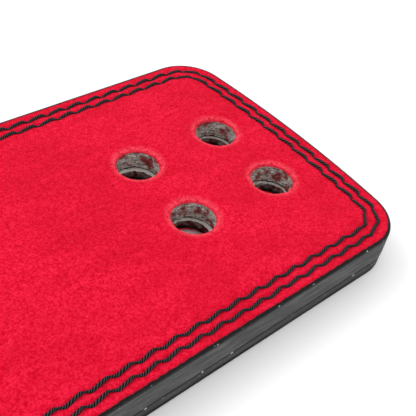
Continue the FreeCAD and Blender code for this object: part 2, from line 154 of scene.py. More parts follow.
# ---- where the camera stands, measured from the tongue's end ----
CAMERA_OFFSET = Vector((-160.3, -115.4, 140.4)) * MM
CAMERA_AZIMUTH = math.radians(-47.58)
CAMERA_ELEVATION = math.radians(42.74)
CAMERA_ROLL = math.radians(10.63)
CAMERA_LENS = 63.9


# ======================================================================
# settings that a user would change
# ======================================================================
class LeatherSettings(bpy.types.PropertyGroup):
    suede_colour: FloatVectorProperty(
        name="Suede", description="Colour of the suede's nap", subtype="COLOR",
        size=3, min=0.0, max=1.0, default=(0.63, 0.0015, 0.022))
    nap_tip_colour: FloatVectorProperty(
        name="Nap tips", description="Colour where the nap catches the light", subtype="COLOR",
        size=3, min=0.0, max=1.0, default=(0.88, 0.018, 0.062))
    core_colour: FloatVectorProperty(
        name="Core", description="Colour of the cut leather in the holes", subtype="COLOR",
        size=3, min=0.0, max=1.0, default=(0.38, 0.34, 0.31))
    edge_colour: FloatVectorProperty(
        name="Edge dressing", description="Colour of the dressed edge", subtype="COLOR",
        size=3, min=0.0, max=1.0, default=(0.060, 0.060, 0.061))
    lip_radius: FloatProperty(
        name="Edge rounding", description="Radius of the belt's rounded upper and lower edges",
        unit="LENGTH", default=1.0 * MM, min=0.2 * MM, max=3.0 * MM)
    groove_depth: FloatProperty(
        name="Stitch groove", description="How far the thread pulls the suede down",
        unit="LENGTH", default=0.34 * MM, min=0.0, max=1.0 * MM)
    dish_depth: FloatProperty(
        name="Hole dish", description="How far the punch pressed the suede down round a hole",
        unit="LENGTH", default=0.55 * MM, min=0.0, max=1.0 * MM)
    dish_reach: FloatProperty(
        name="Dish reach", description="How far from a hole's wall the dish fades out",
        unit="LENGTH", default=4.6 * MM, min=1.0 * MM, max=6.0 * MM)
    hole_lip: FloatProperty(
        name="Hole lip", description="Radius that rounds the suede into a hole",
        unit="LENGTH", default=0.80 * MM, min=0.1 * MM, max=0.9 * MM)
    ply_shift: FloatProperty(
        name="Ply shift", description="How far the lower ply's holes stand out of line",
        unit="LENGTH", default=0.35 * MM, min=0.0, max=1.0 * MM)


class StitchSettings(bpy.types.PropertyGroup):
    colour: FloatVectorProperty(
        name="Thread", description="Colour of the waxed thread", subtype="COLOR",
        size=3, min=0.0, max=1.0, default=(0.003, 0.003, 0.003))
    length: FloatProperty(
        name="Stitch length", description="Distance between needle holes",
        unit="LENGTH", default=6.65 * MM, min=3.0 * MM, max=12.0 * MM)
    width: FloatProperty(
        name="Thread width", description="Diameter of the thread",
        unit="LENGTH", default=0.98 * MM, min=0.4 * MM, max=1.6 * MM)
    seed: IntProperty(
        name="Seed", description="Which uneven hand the stitches get", default=7, min=0)


class BuckleSettings(bpy.types.PropertyGroup):
    steel_colour: FloatVectorProperty(
        name="Steel", description="Colour of the buckle's satin steel", subtype="COLOR",
        size=3, min=0.0, max=1.0, default=(0.40, 0.40, 0.41))
    edge_break: FloatProperty(
        name="Broken edges", description="How far sharp steel edges are rubbed down",
        unit="LENGTH", default=0.25 * MM, min=0.05 * MM, max=0.6 * MM)


class StudioSettings(bpy.types.PropertyGroup):
    daylight: FloatProperty(
        name="Room light", description="Strength of the white room round the table",
        default=1.05, min=0.0, max=3.0)
    key_power: FloatProperty(
        name="Key light", description="Power of the large soft light",
        unit="POWER", default=4.0, min=0.0, max=200.0)
    fill_power: FloatProperty(
        name="Fill light", description="Power of the soft light on the camera's side",
        unit="POWER", default=1.5, min=0.0, max=100.0)


# ======================================================================
# shader maths as Python expressions
# ======================================================================
class Value:
    """A number on its way through a material, whose operators add Math nodes."""

    def __init__(self, recipe, socket):
        self.recipe = recipe
        self.socket = socket

    def math(self, operation, *values):
        return self.recipe.node("ShaderNodeMath", {"operation": operation}, dict(enumerate(values)))

    def __add__(self, other):
        return self.math("ADD", self, other)

    def __sub__(self, other):
        return self.math("SUBTRACT", self, other)

    def __rsub__(self, other):
        return self.math("SUBTRACT", other, self)

    def __mul__(self, other):
        return self.math("MULTIPLY", self, other)

    __radd__ = __add__
    __rmul__ = __mul__

    def sine(self):
        return self.math("SINE", self)

    def step(self, low, high):
        """0 at low and 1 at high, with a smooth change between, whichever of the two is larger."""
        if low > high:
            return 1 - self.step(high, low)
        settings = {"interpolation_type": "SMOOTHSTEP"}
        return self.recipe.node("ShaderNodeMapRange", settings, {0: self, 1: low, 2: high})


class Recipe:
    """One material being mixed."""

    def __init__(self, name):
        self.material = bpy.data.materials.new(name)
        self.material.use_nodes = True
        self.tree = self.material.node_tree
        self.tree.nodes.clear()
        self.shader = self.tree.nodes.new("ShaderNodeBsdfPrincipled")
        output = self.tree.nodes.new("ShaderNodeOutputMaterial")
        self.tree.links.new(self.shader.outputs[0], output.inputs[0])
        self.places = self.node("ShaderNodeTexCoord", output="Object")

    def node(self, kind, settings=None, inputs=None, output=0):
        """Adds one node: its settings first, then the values or links of its sockets."""
        made = self.tree.nodes.new(kind)
        for key, value in (settings or {}).items():
            setattr(made, key, value)
        for key, value in (inputs or {}).items():
            self.feed(made.inputs[key], value)
        return Value(self, made.outputs[output])

    def feed(self, socket, value):
        if isinstance(value, Value):
            self.tree.links.new(value.socket, socket)
        elif isinstance(value, (tuple, list)) and len(value) == 3 and socket.type == "RGBA":
            socket.default_value = (*value, 1.0)
        else:
            socket.default_value = value

    def attribute(self, name):
        return self.node("ShaderNodeAttribute", {"attribute_name": name}, output="Fac")

    def axis(self, letter):
        return self.node("ShaderNodeSeparateXYZ", inputs={0: self.places}, output=letter)

    def stretched(self, scale):
        return self.node("ShaderNodeMapping", inputs={"Vector": self.places, "Scale": scale})

    def noise(self, size, detail=2.0, roughness=0.5, where=None, distortion=0.0):
        """Cloudy noise whose blotches are about size across, in metres."""
        inputs = {"Vector": where or self.places, "Scale": 1.0 / size, "Detail": detail,
                  "Roughness": roughness, "Distortion": distortion}
        return self.node("ShaderNodeTexNoise", {}, inputs)

    def cells(self, size):
        """Distance from the middle of scattered cells about size across."""
        inputs = {"Vector": self.places, "Scale": 1.0 / size}
        return self.node("ShaderNodeTexVoronoi", {}, inputs, "Distance")

    def mix(self, first, second, factor):
        """Colour between first and second."""
        settings = {"data_type": "RGBA", "blend_type": "MIX", "clamp_factor": True}
        return self.node("ShaderNodeMix", settings, {0: factor, 6: first, 7: second}, 2)

    def bump(self, height, distance, strength):
        inputs = {"Strength": strength, "Distance": distance, "Height": height}
        return self.node("ShaderNodeBump", {}, inputs)

    def finish(self, **sockets):
        """Sets the shader's sockets by name, with _ for a space."""
        for key, value in sockets.items():
            self.feed(self.shader.inputs[key.replace("_", " ")], value)
        return self.material


def suede_material():
    """Brushed red suede: short nap, cloudy painted shade where the nap lies away from the light and in its
    hollows, painted highlight on the nap tips and round the tongue's holes, and dressing rubbed over its
    rim.
    """
    colours = bpy.context.scene.lever_belt_leather
    r = Recipe("red_suede")
    grain = r.noise(0.55 * MM, 2.0, 0.6)
    tufts = r.noise(1.6 * MM, 3.0, 0.6)
    strokes = r.noise(6.0 * MM, 3.0, 0.55, r.stretched((0.5, 1.0, 1.0)), 0.5)
    clouds = r.noise(30.0 * MM, 2.0, 0.5)
    tips = (grain * 0.72 + tufts * 0.28).step(0.40, 0.66)
    colour = r.mix(tuple(colours.suede_colour), tuple(colours.nap_tip_colour), tips * 0.85)
    # painted shade: the nap is darkened where its strokes and clouds lie away from the light
    shade = (strokes * 0.5 + clouds * 0.5).step(0.34, 0.62)
    colour = r.mix(colour, RED_NAP_SHADE, (1 - shade) * 0.42)
    # painted shade in the low spots of the nap
    hollow_shade = (grain * 0.6 + tufts * 0.4).step(0.44, 0.34)
    colour = r.mix(colour, RED_HOLLOW_SHADE, hollow_shade * 0.55)
    flecks = r.cells(2.3 * MM).step(0.16, 0.06) * r.noise(6.0 * MM).step(0.5, 0.62)
    colour = r.mix(colour, NAP_FLECK, flecks * 0.15)
    # painted highlight where the fuzzy nap round the peg holes catches the light
    worn = r.attribute("worn") * (grain * 0.6 + tufts * 0.4).step(0.30, 0.62)
    colour = r.mix(colour, NAP_LIP_HIGHLIGHT, worn * 0.55)
    rim = r.attribute("rim") + (r.noise(1.3 * MM, 3.0, 0.7) - 0.5) * 0.30
    dressed = rim.step(0.60, 0.68)
    smear = rim.step(0.38, 0.60) * 0.35
    colour = r.mix(colour, SMEARED_RED, smear)
    colour = r.mix(colour, RIM_BLACK, dressed)
    nap = grain * 0.7 + tufts * 0.5 + strokes * 0.25
    normal = r.bump(nap, 0.34 * MM, 0.65)
    roughness = 0.96 - dressed * 0.42
    return r.finish(Base_Color=colour, Roughness=roughness, Normal=normal, Sheen_Weight=0.03,
                    Sheen_Roughness=0.5, Sheen_Tint=NAP_SHEEN, Specular_IOR_Level=0.06)


def core_material():
    """Cut leather: pale grey fibres with red dye that soaked in, painted shade down the hole and where the
    plies part, and a painted highlight on the lower ply's ledge.
    """
    colours = bpy.context.scene.lever_belt_leather
    r = Recipe("cut_leather")
    height = r.axis("Z")
    layers = r.noise(1.0 * MM, 4.0, 0.7, r.stretched((0.7, 0.7, 2.4)), 0.8)
    fibres = r.noise(0.5 * MM, 3.0, 0.7, r.stretched((1.0, 1.0, 1.8)))
    patches = r.noise(3.2 * MM, 2.0, 0.6)
    colour = r.mix(tuple(colours.core_colour), PALE_FIBRE, fibres.step(0.44, 0.62))
    colour = r.mix(colour, DARK_LAYER, layers.step(0.50, 0.38) * 0.9)
    dyed = (layers * 0.45 + patches * 0.55).step(0.49, 0.56)
    colour = r.mix(colour, SOAKED_DYE, dyed * 0.9)
    # painted shade down the lower ply's wall, dark red and darker still where the dye soaked in
    deep = height.step(GLUE_LINE - 0.15 * MM, GLUE_LINE - 0.5 * MM)
    colour = r.mix(colour, DEEP_DYE_AND_SHADE, deep * (0.62 + dyed * 0.33))
    # painted shade: black at the bottom of the hole, with a ragged top
    bottom_shade = (height + (layers - 0.5) * (1.6 * MM)).step(LINING_TOP + 1.9 * MM, LINING_TOP + 0.6 * MM)
    colour = r.mix(colour, HOLE_SHADE_BLACK, bottom_shade * 0.92)
    # painted highlight on the lower ply's ledge just below the glue line
    ledge_highlight = height.step(GLUE_LINE - 0.30 * MM, GLUE_LINE - 0.12 * MM)
    ledge_highlight = ledge_highlight * height.step(GLUE_LINE + 0.06 * MM, GLUE_LINE)
    colour = r.mix(colour, LEDGE_HIGHLIGHT, ledge_highlight * fibres.step(0.26, 0.44) * 0.85)
    # painted shade in the undercut where the plies part, just above the glue line
    gap = height.step(GLUE_LINE + 0.02 * MM, GLUE_LINE + 0.08 * MM)
    gap = gap * height.step(GLUE_LINE + 0.85 * MM, GLUE_LINE + 0.6 * MM)
    colour = r.mix(colour, HOLE_SHADE_BLACK, gap * 0.95)
    normal = r.bump(layers * 0.8 + fibres * 0.6, 0.5 * MM, 0.9)
    return r.finish(Base_Color=colour, Roughness=0.95, Normal=normal, Specular_IOR_Level=0.08)


def edge_material():
    """Black edge dressing, rubbed down to a satin whose sheen is painted in lighter streaks, with painted
    shade at its foot and lint caught along its seam.
    """
    colours = bpy.context.scene.lever_belt_leather
    r = Recipe("edge_dressing")
    height = r.axis("Z")
    grain = r.noise(0.5 * MM, 4.0, 0.7)
    drag = r.noise(2.2 * MM, 3.0, 0.6, r.stretched((0.25, 0.25, 1.6)))
    lower = height.step(GLUE_LINE + 0.2 * MM, GLUE_LINE - 0.4 * MM)
    # the dressing's streaky tone, lightened with painted satin sheen
    tone = (grain * 0.4 + drag * 0.6).step(0.40, 0.64)
    colour = r.mix(tuple(colours.edge_colour), EDGE_SHEEN_STREAK, tone * 0.8)
    colour = r.mix(colour, EDGE_LOWER, lower * 0.30)
    wander = height + (drag - 0.5) * (0.5 * MM)
    seam = wander.step(GLUE_LINE - 0.60 * MM, GLUE_LINE - 0.2 * MM)
    seam = seam * wander.step(GLUE_LINE + 0.65 * MM, GLUE_LINE + 0.3 * MM)
    # painted shade: black where the edge rounds under towards the floor
    foot_shade = wander.step(3.2 * MM, 1.3 * MM)
    crown = wander.step(FACE_TOP - 0.8 * MM, FACE_TOP - 0.35 * MM)
    colour = r.mix(colour, EDGE_BLACK, seam * 0.95 + foot_shade * 0.85 + crown * 0.75)
    specks = r.cells(1.15 * MM).step(0.36, 0.18) * r.noise(3.5 * MM, 1.0).step(0.50, 0.60)
    near_seam = height.step(GLUE_LINE - 1.6 * MM, GLUE_LINE - 0.4 * MM)
    near_seam = near_seam * height.step(GLUE_LINE + 0.9 * MM, GLUE_LINE)
    lint = specks * (near_seam * 0.8 + crown * 0.45)
    colour = r.mix(colour, LINT, lint)
    roughness = 0.46 + grain * 0.22 + lower * 0.12
    normal = r.bump(grain * 0.6 + drag * 0.5 + lint * 0.8, 0.16 * MM, 0.7)
    return r.finish(Base_Color=colour, Roughness=roughness, Normal=normal, Specular_IOR_Level=0.04)


def thread_material():
    """Waxed three-strand thread; the strands wind along the stitch's own UV map."""
    r = Recipe("waxed_thread")
    uv = r.node("ShaderNodeTexCoord", output="UV")
    along = r.node("ShaderNodeSeparateXYZ", inputs={0: uv}, output="Y")
    around = r.node("ShaderNodeSeparateXYZ", inputs={0: uv}, output="X")
    strands = (around * (STRANDS * math.tau) + along * (TWIST * math.tau)).sine() * 0.5 + 0.5
    fuzz = r.noise(0.3 * MM, 3.0, 0.7)
    wax = tuple(bpy.context.scene.lever_belt_stitch.colour)
    # painted highlight on the crowns of the twisted strands
    colour = r.mix(wax, STRAND_HIGHLIGHT, strands.step(0.35, 0.95))
    colour = r.mix(colour, THREAD_FUZZ, fuzz.step(0.58, 0.72) * 0.25)
    normal = r.bump(strands + fuzz * 0.35, 0.12 * MM, 0.9)
    return r.finish(Base_Color=colour, Roughness=0.55 + fuzz * 0.2, Normal=normal, Specular_IOR_Level=0.05)


def steel_material(name, colour, roughness, grain_axis):
    """Steel with a fine brushed grain along one axis."""
    r = Recipe(name)
    scale = [3.0, 3.0, 3.0]
    scale[grain_axis] = 0.08
    lines = r.noise(0.5 * MM, 4.0, 0.7, r.stretched(tuple(scale)))
    wear = r.noise(9.0 * MM, 3.0, 0.6)
    dull = tuple(channel * 0.72 for channel in colour)
    tone = r.mix(colour, dull, (lines * 0.6 + wear * 0.4).step(0.4, 0.7) * 0.6)
    finish = roughness + (lines - 0.5) * 0.22 + (wear - 0.5) * 0.12
    normal = r.bump(lines, 0.03 * MM, 0.6)
    return r.finish(Base_Color=tone, Metallic=1.0, Roughness=finish, Normal=normal)


def nylon_material():
    """Moulded black nylon with a fine grain."""
    r = Recipe("black_nylon")
    grain = r.noise(0.6 * MM, 3.0, 0.6)
    colour = r.mix(NYLON_DARK, NYLON_LIGHT, grain.step(0.4, 0.7))
    normal = r.bump(grain, 0.05 * MM, 0.5)
    return r.finish(Base_Color=colour, Roughness=0.5 + grain * 0.15, Normal=normal)


def floor_material():
    """Matt pale tabletop."""
    r = Recipe("pale_floor")
    tone = r.noise(400.0 * MM, 2.0, 0.5)
    colour = r.mix(FLOOR_LOW, FLOOR_HIGH, tone)
    return r.finish(Base_Color=colour, Roughness=0.85, Specular_IOR_Level=0.2)


MATERIALS = {}


def material(name, make, *details):
    """A material by name, made the first time that it is asked for."""
    if name not in MATERIALS:
        MATERIALS[name] = make(*details)
    return MATERIALS[name]


# ======================================================================
# modelling by hand
# ======================================================================
def only(piece):
    """Selects one object and nothing else."""
    bpy.ops.object.select_all(action="DESELECT")
    piece.select_set(True)
    bpy.context.view_layer.objects.active = piece


class Editing:
    """Opens a piece in edit mode with everything deselected, and closes it again."""

    def __init__(self, piece, select=False):
        self.piece = piece
        self.select = select

    def __enter__(self):
        only(self.piece)
        bpy.ops.object.mode_set(mode="EDIT")
        bpy.ops.mesh.select_mode(type="VERT")
        bpy.ops.mesh.select_all(action="SELECT" if self.select else "DESELECT")
        return self

    def __exit__(self, *problem):
        bpy.ops.object.mode_set(mode="OBJECT")

    def mesh(self):
        return bmesh.from_edit_mesh(self.piece.data)

    def pick(self, kind, test):
        """Selects the verts, edges or faces that pass a test, and nothing else."""
        modes = {"verts": "VERT", "edges": "EDGE", "faces": "FACE"}
        bpy.ops.mesh.select_mode(type=modes[kind])
        bpy.ops.mesh.select_all(action="DESELECT")
        mesh = self.mesh()
        found = [element for element in getattr(mesh, kind) if test(element)]
        for element in found:
            element.select_set(True)
        mesh.select_flush_mode()
        bmesh.update_edit_mesh(self.piece.data)


def settle(piece, name, finish, body, replaced, smooth=40.0):
    """Names a piece, gives it its finish, and puts it on its body in place of its CAD nodes."""
    only(piece)
    bpy.ops.object.transform_apply(location=True, rotation=True, scale=True)
    bpy.ops.object.shade_smooth_by_angle(angle=math.radians(smooth))
    piece.name = name
    piece.data.name = name
    piece.data.materials.clear()
    piece.data.materials.append(finish)
    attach(piece, body)
    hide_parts(*replaced)
    return piece


def outline_point(share, inset=0.0):
    """The place at a share of the way round from the tongue's end, and the way out there."""
    end = (END_ARC_RADIUS - inset) * END_LEAN
    corner = (CORNER_RADIUS - inset) * (math.pi / 2 - END_LEAN)
    quarter = end + corner + CORNER_X
    turn, along = divmod(share * 4 * quarter, quarter)
    if turn % 2:
        along = quarter - along
    if along < end:
        angle, radius = along / (END_ARC_RADIUS - inset), END_ARC_RADIUS
        centre = Vector((HALF_LENGTH - END_ARC_RADIUS, 0.0, 0.0))
    else:
        angle, radius = END_LEAN + (along - end) / (CORNER_RADIUS - inset), CORNER_RADIUS
        straight = max(0.0, along - end - corner)
        centre = Vector((CORNER_X - straight, CORNER_Y, 0.0))
    angle = min(angle, math.pi / 2)
    out = Vector((math.cos(angle), math.sin(angle), 0.0))
    mirror = Vector((-1.0 if turn in (1, 2) else 1.0, -1.0 if turn in (2, 3) else 1.0, 1.0))
    return (centre + out * (radius - inset)) * mirror, out * mirror


def outline_plate(count=OUTLINE_POINTS):
    """A flat plate with the belt's outline, whose vertices remember their seat on it."""
    bpy.ops.object.select_all(action="DESELECT")
    bpy.ops.mesh.primitive_circle_add(vertices=count, radius=HALF_WIDTH, fill_type="NGON")
    plate = bpy.context.object
    with Editing(plate) as edit:
        mesh = edit.mesh()
        seat = mesh.verts.layers.float_vector.new("seat")
        out = mesh.verts.layers.float_vector.new("out")
        for vert in mesh.verts:
            share = math.atan2(vert.co.y, vert.co.x) / math.tau % 1.0
            vert[seat], vert[out] = outline_point(round(share * count) % count / count)
        bmesh.update_edit_mesh(plate.data)
        bpy.ops.mesh.select_all(action="SELECT")
    return plate


def raise_rings(plate, profile):
    """Extrudes an outline plate up a profile of (inset, height) pairs and leaves its ends open."""
    with Editing(plate, select=True) as edit:
        for step, (inset, height) in enumerate(profile):
            if step:
                bpy.ops.mesh.extrude_region()
            mesh = edit.mesh()
            seat = mesh.verts.layers.float_vector["seat"]
            out = mesh.verts.layers.float_vector["out"]
            for vert in mesh.verts:
                if vert.select:
                    vert.co = vert[seat] - vert[out] * inset
                    vert.co.z = height
            bmesh.update_edit_mesh(plate.data)
        edit.pick("faces", lambda face: len(face.verts) > 4)
        bpy.ops.mesh.delete(type="FACE")
        bpy.ops.mesh.select_all(action="SELECT")
        bpy.ops.mesh.normals_make_consistent(inside=False)
    return plate


def quarter_round(inset, height, radius, lift=1):
    """Points from the upright side in and round to the flat, as (inset, height) pairs."""
    points = []
    for step in range(ROUND_STEPS + 1):
        turn = math.pi / 2 * step / ROUND_STEPS
        inward = inset + radius * (1 - math.cos(turn))
        points.append((inward, height + lift * radius * (math.sin(turn) - 1)))
    return points


# ---- a furrow's section: share of its half width, and share of its depth ----
FURROW = ((-1.0, 0.0), (-0.62, 0.16), (-0.32, 0.72), (0.0, 1.0), (0.32, 0.72), (0.62, 0.16), (1.0, 0.0))


def groove(inset, height, depth, lift):
    """A soft furrow across the profile."""
    return [(inset + across * GROOVE_HALF_WIDTH, height - lift * down * depth) for across, down in FURROW]


def hole_wall(profile, centre, unevenness, grain, seed):
    """The open wall of one hole from (radius, height) pairs, made uneven as cut leather is."""
    bpy.ops.object.select_all(action="DESELECT")
    radius, height = profile[0]
    place = (centre[0], centre[1], height)
    bpy.ops.mesh.primitive_circle_add(vertices=HOLE_SEGMENTS, radius=radius, location=place)
    wall = bpy.context.object
    with Editing(wall, select=True):
        for (old, low), (new, high) in zip(profile, profile[1:]):
            middle = (centre[0], centre[1], high)
            bpy.ops.mesh.extrude_region_move(TRANSFORM_OT_translate={"value": (0.0, 0.0, high - low)})
            bpy.ops.transform.resize(value=(new / old, new / old, 1.0), center_override=middle)
    only(wall)
    bpy.ops.object.transform_apply(location=True, rotation=True, scale=True)
    axis = Vector((centre[0], centre[1], 0.0))
    bore = min(radius for radius, _ in profile)
    for vert in wall.data.vertices:
        away = Vector((vert.co.x, vert.co.y, 0.0)) - axis
        inside = 0 < vert.index // HOLE_SEGMENTS < len(profile) - 1
        nearness = inside * math.exp(-((away.length - bore) / (1.5 * MM)) ** 2)
        where = Vector((vert.co.x / grain, vert.co.y / grain, vert.co.z / grain * 1.6 + seed * 7.3))
        vert.co += away.normalized() * unevenness * nearness * noise.noise(where)
    return wall


def mark_lip_highlight(piece, centres, radius, width):
    """Stores where the painted highlight lies on the nap, from 1 on the rim of a hole to 0 at width away
    from it.
    """
    values = []
    for vert in piece.data.vertices:
        gap = min((vert.co.xy - centre).length for centre in centres) - radius
        values.append(max(0.0, 1.0 - abs(gap) / width))
    worn = piece.data.attributes.new("worn", "FLOAT", "POINT")
    worn.data.foreach_set("value", values)


def joined(pieces):
    """Several objects made one."""
    bpy.ops.object.select_all(action="DESELECT")
    for piece in pieces:
        piece.select_set(True)
    bpy.context.view_layer.objects.active = pieces[0]
    bpy.ops.object.join()
    return bpy.context.object


def fill_flat(mesh, height, centres):
    """Fills the flat at one height between the outline and the rims of the holes."""
    mesh.verts.index_update()
    level = {vert for vert in mesh.verts if abs(vert.co.z - height) < SAME_HEIGHT}
    rims = [edge for edge in mesh.edges if edge.is_boundary and level.issuperset(edge.verts)]
    verts = sorted({vert for edge in rims for vert in edge.verts}, key=lambda vert: vert.index)
    order = {vert: place for place, vert in enumerate(verts)}
    flat = [vert.co.xy / MM for vert in verts]
    links = [[order[vert] for vert in edge.verts] for edge in rims]
    whole = delaunay_2d_cdt(flat, links, [], 0, 1e-5)
    near = []
    for vert in verts:
        near.append([n for n, centre in enumerate(centres) if (vert.co.xy - centre).length < HOLE_CELL])
    for corners in whole[2]:
        picked = [whole[3][corner][0] for corner in corners]
        holes = [near[place] for place in picked]
        if not (holes[0] and holes[0] == holes[1] == holes[2]):
            mesh.faces.new([verts[place] for place in picked])


def punched(layer, walls):
    """Joins (centre, wall) pairs of holes to an open layer and closes the two flats round them."""
    centres = [Vector(centre) for centre, _ in walls]
    piece = joined([layer] + [wall for _, wall in walls])
    heights = [vert.co.z for vert in piece.data.vertices]
    with Editing(piece) as edit:
        mesh = edit.mesh()
        for height in (min(heights), max(heights)):
            fill_flat(mesh, height, centres)
        bmesh.update_edit_mesh(piece.data)
        bpy.ops.mesh.select_all(action="SELECT")
        bpy.ops.mesh.normals_make_consistent(inside=False)
    return piece


def pattern(mount, shift=0.0):
    """The centres and radius of a bolt pattern's holes."""
    x, y, _ = mount["pos_m"]
    dims = mount["dims"]
    half_x = dims["spacing_x_mm"] * MM / 2
    half_y = dims["spacing_y_mm"] * MM / 2
    corners = ((-1, -1), (-1, 1), (1, -1), (1, 1))
    centres = [(x + shift + side * half_x, y + flank * half_y) for side, flank in corners]
    return [(centre, dims["hole_r_mm"] * MM) for centre in centres]


def peg_holes():
    """The four holes at the tongue that the hook's pegs go into."""
    return pattern(MOUNTS["tongue_holes"])


def buckle_holes():
    """The four adjusting holes that the buckle's nuts stand in."""
    tail = MOUNTS["adjusting_holes_tail"]
    return pattern(tail, 2 * tail["dims"]["spacing_x_mm"] * MM)


def adjusting_holes():
    """The free holes that the buckle can be moved to."""
    names = ("adjusting_holes_tail", "adjusting_holes_middle", "adjusting_holes_inner")
    return [hole for name in names for hole in pattern(MOUNTS[name])]


# ======================================================================
# the belt's layers
# ======================================================================
def row_points(inset, spacing):
    """Needle holes evenly spaced round the belt at one inset, with the count that fits best."""
    corner = (CORNER_RADIUS - inset) * (math.pi / 2 - END_LEAN)
    length = 4 * ((END_ARC_RADIUS - inset) * END_LEAN + corner + CORNER_X)
    count = round(length / spacing)
    return [outline_point(step / count, inset)[0] for step in range(count)]


def stitch_rows():
    """The needle holes of both rows."""
    spacing = bpy.context.scene.lever_belt_stitch.length
    return {inset: row_points(inset, spacing) for inset in (OUTER_ROW, INNER_ROW)}


def press_needle_holes(piece, height, lift):
    """Pulls the suede down round each needle hole."""
    needles = [point for points in stitch_rows().values() for point in points]
    tree = kdtree.KDTree(len(needles))
    for index, point in enumerate(needles):
        tree.insert(point, index)
    tree.balance()
    for vert in piece.data.vertices:
        if abs(vert.co.z - height) < 1.0 * MM:
            flat = Vector((vert.co.x, vert.co.y, 0.0))
            distance = tree.find(flat)[2]
            if distance < 2 * NEEDLE_REACH:
                vert.co.z -= lift * NEEDLE_DEPTH * math.exp(-(distance / NEEDLE_REACH) ** 2)


def mark_rim(piece, width):
    """Stores how near each vertex is to the belt's edge, from 1 at the edge to 0 at width."""
    values = []
    layer = piece.data.attributes["seat"].data
    for vert, seat in zip(piece.data.vertices, layer):
        gap = (Vector((vert.co.x, vert.co.y, 0.0)) - Vector(seat.vector)).length
        values.append(max(0.0, 1.0 - gap / width))
    rim = piece.data.attributes.new("rim", "FLOAT", "POINT")
    rim.data.foreach_set("value", values)


def suede_layer(outer, inner, lift):
    """A suede layer from the leather at inner to the nap at outer; lift is 1 upwards, -1 downwards."""
    settings = bpy.context.scene.lever_belt_leather
    film = COAT_FILM * 0.4
    profile = [(film, inner)]
    profile += quarter_round(film, outer, settings.lip_radius, lift)
    profile += [(GROOVES_START - 0.5 * MM, outer), (GROOVES_START, outer)]
    profile += groove(OUTER_ROW, outer, settings.groove_depth, lift)
    profile += groove(INNER_ROW, outer, settings.groove_depth, lift)
    profile += [(GROOVES_END, outer)]
    layer = raise_rings(outline_plate(), profile)
    press_needle_holes(layer, outer, lift)
    mark_rim(layer, RIM_REACH)
    walls = []
    for index, (centre, radius) in enumerate(peg_holes() + adjusting_holes()):
        profile = lipped_hole(radius, outer, inner, lift)
        walls.append((centre, hole_wall(profile, centre, SUEDE_ROUGHNESS, SUEDE_GRAIN, index)))
    for index, (centre, radius) in enumerate(buckle_holes()):
        profile = [(NUT_SEAT, outer), (NUT_SEAT, inner)]
        if lift > 0:
            profile = lipped_hole(radius, outer, inner, lift)
        walls.append((centre, hole_wall(profile, centre, SEATED_ROUGHNESS, SUEDE_GRAIN, index + 20)))
    piece = punched(layer, walls)
    # the painted highlight ring lies just outside the peg holes
    rim = peg_holes()[0][1] + LIP_HIGHLIGHT_OFFSET
    mark_lip_highlight(piece, [Vector(centre) for centre, _ in peg_holes()], rim, LIP_HIGHLIGHT_WIDTH)
    return piece


def lipped_hole(radius, outer, inner, lift):
    """The profile of a punched hole in suede: a shallow dish, a rounded lip, then the wall."""
    settings = bpy.context.scene.lever_belt_leather
    depth, reach, lip = settings.dish_depth, settings.dish_reach, settings.hole_lip
    points = []
    for step in range(DISH_STEPS + 1):
        share = step / DISH_STEPS
        points.append((radius + lip + (reach - lip) * (1 - share), outer - lift * depth * share ** 2))
    for step in range(1, LIP_STEPS + 1):
        turn = math.pi / 2 * step / LIP_STEPS
        down = depth + lip * (1 - math.cos(turn))
        points.append((radius + lip * (1 - math.sin(turn)), outer - lift * down))
    points.append((radius, inner))
    return points


def core_hole(radius, bottom, top, gap, seat=0.0):
    """The wall of a hole through one leather ply, flared where the plies part."""
    points = [(radius + gap, bottom), (radius + gap * 0.3, bottom + 0.4 * MM)]
    if seat:
        points = [(NUT_SEAT, bottom), (NUT_SEAT, seat), (radius, seat)]
    start = points[-1][1]
    rows = max(4, round((top - start) / WALL_ROW))
    return points + [(radius, start + (top - start) * row / rows) for row in range(1, rows + 1)]


def leather_ply(bottom, top, shift, narrower, gap):
    """One ply of leather with rough-walled holes."""
    plate = outline_plate(OUTLINE_POINTS // 2)
    layer = raise_rings(plate, [(COAT_FILM, bottom), (COAT_FILM, top)])
    walls = []
    for index, (centre, radius) in enumerate(peg_holes() + adjusting_holes()):
        turn = index * 1.9 + 2.2
        swing = Vector((math.cos(turn), math.sin(turn))) * shift
        place = (centre[0] + swing.x, centre[1] + swing.y)
        profile = core_hole(radius - narrower, bottom, top, gap)
        walls.append((place, hole_wall(profile, place, PLY_ROUGHNESS, PLY_GRAIN, index + 40)))
    seat = NUT_DEPTH if bottom < NUT_DEPTH else 0.0
    for index, (centre, radius) in enumerate(buckle_holes()):
        profile = core_hole(radius, bottom, top, gap, seat)
        walls.append((centre, hole_wall(profile, centre, SEATED_ROUGHNESS, PLY_GRAIN, index + 60)))
    return punched(layer, walls)


class BELT_OT_suede(bpy.types.Operator):
    """Makes the red suede face and lining, with their stitch grooves and punched holes"""

    bl_idname = "lever_belt.suede"
    bl_label = "Suede face and lining"

    def execute(self, context):
        finish = material("suede", suede_material)
        face = suede_layer(FACE_TOP, FACE_BOTTOM, 1)
        settle(face, "suede_face", finish, "belt", ["outer_suede"])
        lining = suede_layer(0.0, LINING_TOP, -1)
        settle(lining, "suede_lining", finish, "belt", ["inner_suede"])
        return {"FINISHED"}


